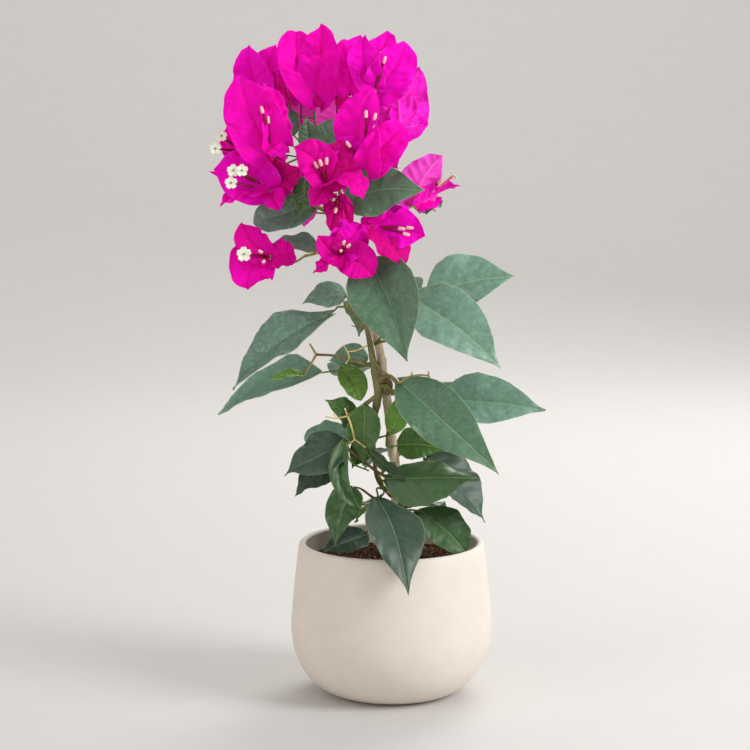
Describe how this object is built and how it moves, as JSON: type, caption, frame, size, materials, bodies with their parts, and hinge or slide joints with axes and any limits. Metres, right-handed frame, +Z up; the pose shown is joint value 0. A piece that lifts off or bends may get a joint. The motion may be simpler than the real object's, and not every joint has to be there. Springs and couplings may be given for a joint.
{
  "type": "potted bougainvillea",
  "caption": "Young bougainvillea in a round cream pot: a thin leaning trunk, broad pointed leaves and a crown of papery magenta bracts.",
  "frame": {"origin": "centre of the pot's flat underside", "axes": "+Z up, -Y towards the side that the picture shows, +X to the right in the picture"},
  "size_m": [0.2076, 0.1498, 0.4156],
  "materials": {
    "pot_ceramic": "matte",
    "potting_soil": "matte",
    "trunk_bark": "matte",
    "green_stem": "satin",
    "leaf": "satin",
    "bract": "matte"
  },
  "bodies": {
    "root": {"pot": "pot_ceramic", "soil": "potting_soil", "trunk": "trunk_bark", "leader": "green_stem", "side_stem": "green_stem", "low_stem": "green_stem", "bough_top": "green_stem", "bough_left": "green_stem", "bough_right": "green_stem", "bough_back": "green_stem", "bough_low_right": "green_stem", "bough_low_left": "green_stem", "leaf_upper_front": "leaf", "leaves_upper_right": "leaf", "leaves_upper_left": "leaf", "leaves_upper_back": "leaf", "leaves_middle_left": "leaf", "leaves_middle_back_left": "leaf", "leaves_middle_right": "leaf", "leaves_middle_back_right": "leaf", "leaves_fork_left": "leaf", "leaves_low_left": "leaf", "leaf_low_bright": "leaf", "leaves_low_front": "leaf", "leaves_low_back": "leaf", "leaves_foot_right": "leaf", "leaves_foot_far_right": "leaf", "leaves_foot_left": "leaf", "leaves_foot_front": "leaf", "leaves_foot_back": "leaf", "crown_leaf_right": "leaf", "crown_leaves_left": "leaf", "crown_leaves_top": "leaf", "crown_leaves_back": "leaf", "crown_low_left": "bract", "crown_low_right": "bract", "crown_front": "bract", "crown_left": "bract", "crown_top": "bract", "crown_right": "bract", "crown_back": "bract"}
  },
  "joints": []
}
